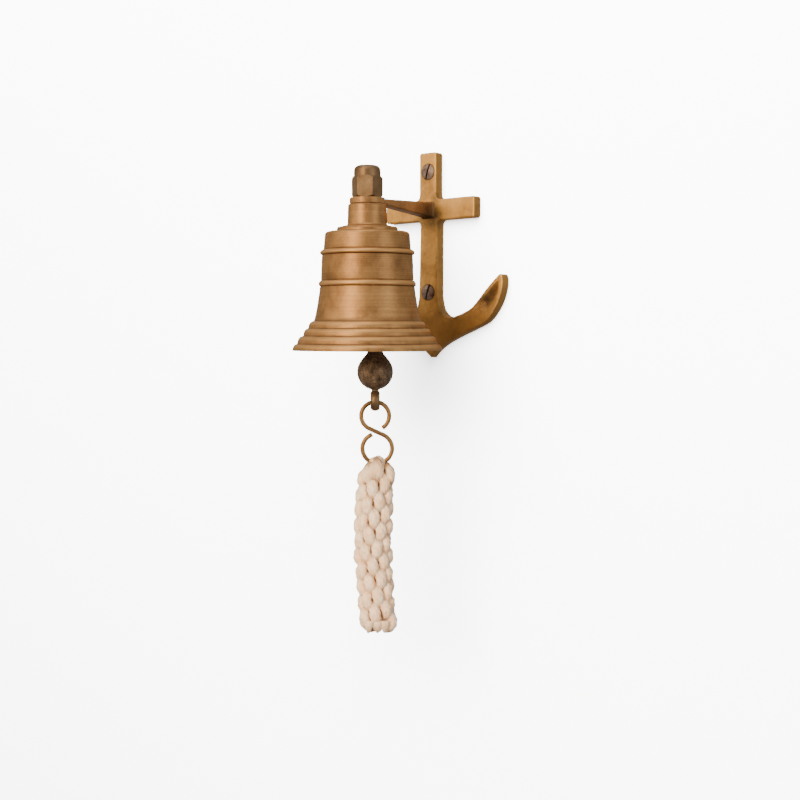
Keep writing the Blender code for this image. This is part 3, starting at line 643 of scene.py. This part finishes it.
def add_strand(shape, layer, line, sizes, tuck_shades):
    """A closed tube of twisted plies along a line of points. The list after the sizes says how much painted
    shade each ring gets where it is tucked in.
    """
    count = len(line)
    loops = []
    for i, point in enumerate(line):
        ahead = (line[min(i + 1, count - 1)] - line[max(i - 1, 0)]).normalized()
        outward = point - rope_middle(min(point.z - ROPE_PIVOT.z, ROPE_TOP - 6 * MM))
        outward = (outward - ahead * outward.dot(ahead)).normalized()
        side = ahead.cross(outward)
        wide, thick = sizes[i]
        loop = []
        twist = 2 * math.pi * PLY_TURNS * i / count
        for k in range(STRAND_SIDES):
            a = 2 * math.pi * k / STRAND_SIDES
            ply = 1 + PLY_DEPTH * math.cos(PLIES * (a - twist))
            spot = point + side * (wide * math.cos(a) * ply) + outward * (thick * math.sin(a) * ply)
            coarse = noise.noise(spot * FUZZ_COARSE[0]) * FUZZ_COARSE[1]
            fine = noise.noise(spot * FUZZ_FINE[0]) * FUZZ_FINE[1]
            fuzz = (coarse + fine) * MM
            vertex = shape.verts.new(spot + (spot - point).normalized() * fuzz)
            # Painted shade: darker where the strand is tucked in and on its half that faces into the rope.
            vertex[layer] = min(1.0, max(0.0, tuck_shades[i] + 0.45 * max(0.0, -math.sin(a))))
            loop.append(vertex)
        loops.append(loop)
    join_rings(shape, loops)
    shape.faces.new(reversed(loops[0]))
    shape.faces.new(loops[-1])


def add_lobe(shape, layer, angle, z, rng):
    """One bulging stitch of the plait, both its ends tucked under its neighbours."""
    swell = rope_swell(z)
    length = LOBE_HALF * (0.72 + 0.28 * swell) * rng.uniform(0.96, 1.05)
    lean = LOBE_LEAN + rng.uniform(-0.22, 0.22)
    lift = rng.uniform(-0.5, 0.5) * MM
    line, sizes, tuck_shades = [], [], []
    for i in range(LOBE_STEPS + 1):
        t = 2 * i / LOBE_STEPS - 1
        run = length * t
        here = z - run * math.cos(lean)
        here = min(max(here, ROPE_BOTTOM + 2.2 * MM), ROPE_TOP - 2.0 * MM)
        round_by = run * math.sin(lean) / (ROPE_HALF_WIDE * rope_swell(here) * 0.93)
        tuck = abs(t) ** 2.0
        thick = STRAND_THICK * (1 - 0.35 * abs(t) ** 3)
        wide = STRAND_WIDE * (0.78 + 0.22 * swell) * (1 - 0.50 * abs(t) ** 2.2)
        line.append(rope_point(angle + round_by, here, thick + DIVE * tuck - lift))
        sizes.append((wide, thick))
        tuck_shades.append(0.95 * tuck)
    add_strand(shape, layer, line, sizes, tuck_shades)


def add_eye_strand(shape, layer, offset, wide, lean):
    """A strand that comes up the front, over the hook's wire and down the back."""
    wire = -math.sqrt(HOOK_RING_R ** 2 - offset ** 2)
    line, sizes, tuck_shades = [], [], []
    for i in range(EYE_STEPS + 1):
        t = 2 * i / EYE_STEPS - 1
        if abs(t) < EYE_TURN:
            a = t / EYE_TURN * math.pi / 2
            out, z, drop = EYE_OVER * math.sin(a), wire + EYE_OVER * math.cos(a), 0.0
        else:
            drop = (abs(t) - EYE_TURN) / (1 - EYE_TURN)
            out = math.copysign(EYE_OVER + EYE_BELLY * math.sin(drop * math.pi) ** 0.8, t)
            z = wire - EYE_DROP * drop
        across = offset - lean * drop * math.copysign(1, t)
        line.append(ROPE_PIVOT + ACROSS * across + FACING * out + UP * z)
        sizes.append((wide, 1.35 * MM + 1.6 * MM * math.sin(math.pi * min(1.0, drop)) ** 0.7))
        tuck_shades.append(0.7 * drop ** 3)
    add_strand(shape, layer, line, sizes, tuck_shades)


def add_end_strand(shape, layer, offset):
    """A strand that turns under the rope's lower end, from the front to the back."""
    middle = rope_middle(ROPE_BOTTOM + END_RISE)
    line = []
    for i in range(END_STEPS + 1):
        a = math.pi * (i / END_STEPS - 0.5)
        turn = FACING * (END_OUT * math.sin(a)) - UP * (END_DROP * math.cos(a))
        line.append(middle + ACROSS * offset + turn)
    add_strand(shape, layer, line, [END_SIZE] * len(line), [0.0] * len(line))


def add_shoulder(shape, layer, side, front):
    """A strand beside the eye that bulges out from under the hook's wire."""
    line, sizes, tuck_shades = [], [], []
    for i in range(SHOULDER_STEPS + 1):
        t = i / SHOULDER_STEPS
        bulge = SHOULDER_OUT[side] * math.sin(math.pi * (0.12 + 0.62 * t))
        across = side * (SHOULDER_START + bulge) * MM
        z = -(SHOULDER_TOP + SHOULDER_LENGTH * t) * MM
        out = front * (2.2 + 3.4 * t) * MM
        line.append(ROPE_PIVOT + ACROSS * across + FACING * out + UP * z)
        swell = math.sin(math.pi * (0.10 + 0.80 * t))
        sizes.append(((1.4 + 2.1 * swell) * MM, (1.2 + 1.9 * swell) * MM))
        tuck_shades.append(0.75 * abs(2 * t - 1) ** 3)
    add_strand(shape, layer, line, sizes, tuck_shades)


def mesh_piece(name, shape, material):
    bmesh.ops.recalc_face_normals(shape, faces=shape.faces)
    mesh = mesh_from(name, shape)
    mesh.materials.append(material)
    mesh.shade_smooth()
    return in_scene(name, mesh)


COTTON_STOPS = [(0.3, (0.92, 0.56, 0.31)), (0.5, (0.98, 0.69, 0.44)), (0.7, (1.0, 0.80, 0.58))]
# The crease colour is painted shade in the creases between yarns.
COTTON_SOILED, COTTON_CREASE_SHADE = (0.56, 0.35, 0.18), (0.66, 0.40, 0.20)
# The gap colour is painted shade where strands tuck in.
COTTON_GAP_SHADE, COTTON_FIBRE = (0.24, 0.115, 0.040), (0.62, 0.40, 0.23)
COTTON_SHEEN, COTTON_SHEEN_ROUGH, COTTON_SPECULAR = 0.15, 0.5, 0.15


def cotton_material():
    """Undyed cotton: fibres, painted shade in the creases between yarns, painted shade in the gaps where a
    strand tucks in, and a soiled eye.
    """
    look = Look("cotton_plait", 0.9, 0.0)
    tucked = look.nodes.new("ShaderNodeAttribute")
    tucked.attribute_name = "tucked"
    blotch = look.noise(look.moved(), 150, 4, 0.6)
    fibre = look.noise(look.moved((0, 0, 0), (1500, 1500, 500)), 1.0, 4, 0.7)
    yarn = look.noise(look.moved((2, 5, 1), (620, 620, 330), (0.0, 0.35, 0.0)), 1.0, 3, 0.6)
    colour = look.ramp(blotch, COTTON_STOPS)
    soiled = look.near(ROPE_PIVOT - UP * 0.010, 0.006, 0.014)
    colour = look.mix(look.math("MULTIPLY", soiled, 0.55), colour, COTTON_SOILED)
    # Painted shade in the creases between yarns, following the yarn bump.
    colour = look.mix(look.spread(yarn, 0.50, 0.34, 0.0, 0.50), colour, COTTON_CREASE_SHADE)
    # Painted shade in the gaps where strands tuck in.
    shade = look.spread(tucked.outputs["Fac"], 0.08, 0.44)
    colour = look.mix(look.math("MULTIPLY", shade, 0.92), colour, COTTON_GAP_SHADE)
    colour = look.mix(look.spread(fibre, 0.50, 0.74, 0.0, 0.34), colour, COTTON_FIBRE)
    look.set("Base Color", colour)
    look.set("Normal", look.bump(fibre, 0.0006, 0.8, look.bump(yarn, 0.0016, 0.9)))
    look.shader.inputs["Sheen Weight"].default_value = COTTON_SHEEN
    look.shader.inputs["Sheen Roughness"].default_value = COTTON_SHEEN_ROUGH
    look.shader.inputs["Specular IOR Level"].default_value = COTTON_SPECULAR
    return look.material


def make_plait(cotton):
    rng = random.Random(11)
    shape = bmesh.new()
    layer = shape.verts.layers.float.new("tucked")
    for column in range(COLUMNS):
        for row in ROWS:
            across = column * STEP_RIGHT[0] + row * STEP_LEFT[0] + FIRST_ROUND
            z = ROPE_TOP - FIRST_DOWN - column * STEP_RIGHT[1] - row * STEP_LEFT[1]
            if ROPE_TOP - 8 * MM >= z >= ROPE_BOTTOM + 5.5 * MM:
                add_lobe(shape, layer, 2 * math.pi * across / ROPE_ROUND, z, rng)
    for offset, wide, lean in EYE_STRANDS:
        add_eye_strand(shape, layer, offset, wide, lean)
    for offset in END_OFFSETS:
        add_end_strand(shape, layer, offset)
    for side in (-1, 1):
        for front in (-1, 1):
            add_shoulder(shape, layer, side, front)
    return mesh_piece("lanyard_plait", shape, cotton)


def make_core(cotton):
    """The rope's heart, painted fully in gap shade, which shows brown through the gaps between the stitches
    as painted shade.
    """
    shape = bmesh.new()
    layer = shape.verts.layers.float.new("tucked")
    loops = []
    for i in range(CORE_STEPS + 1):
        z = ROPE_TOP - CORE_START + (ROPE_BOTTOM - ROPE_TOP + CORE_SHORT) * i / CORE_STEPS
        swell = rope_swell(z)
        wide, deep = ROPE_HALF_WIDE * swell - CORE_INSET, ROPE_HALF_DEEP * swell - CORE_INSET
        loop = []
        for k in range(STRAND_SIDES):
            a = 2 * math.pi * k / STRAND_SIDES
            spot = rope_middle(z) + ACROSS * (wide * math.sin(a)) + FACING * (deep * math.cos(a))
            vertex = shape.verts.new(spot)
            # The whole core takes the full painted gap shade.
            vertex[layer] = 1.0
            loop.append(vertex)
        loops.append(loop)
    join_rings(shape, loops)
    shape.faces.new(loops[0])
    shape.faces.new(loops[-1])
    return mesh_piece("lanyard_core", shape, cotton)


def make_rope():
    """The plaited rope in the lanyard's place, with a lamp of its own."""
    cotton = cotton_material()
    plait, core = make_plait(cotton), make_core(cotton)
    for piece in (plait, core):
        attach(piece, "pull")
    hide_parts("lanyard")
    rope_half_way = ROPE_PIVOT + UP * (ROPE_TOP + ROPE_BOTTOM) / 2
    light_only(lamp_round(rope_half_way, *ROPE_LAMP), "rope_lit", (plait, core))


make_camera()
make_world()
make_stage(make_lights())
dress_metal()
make_rope()
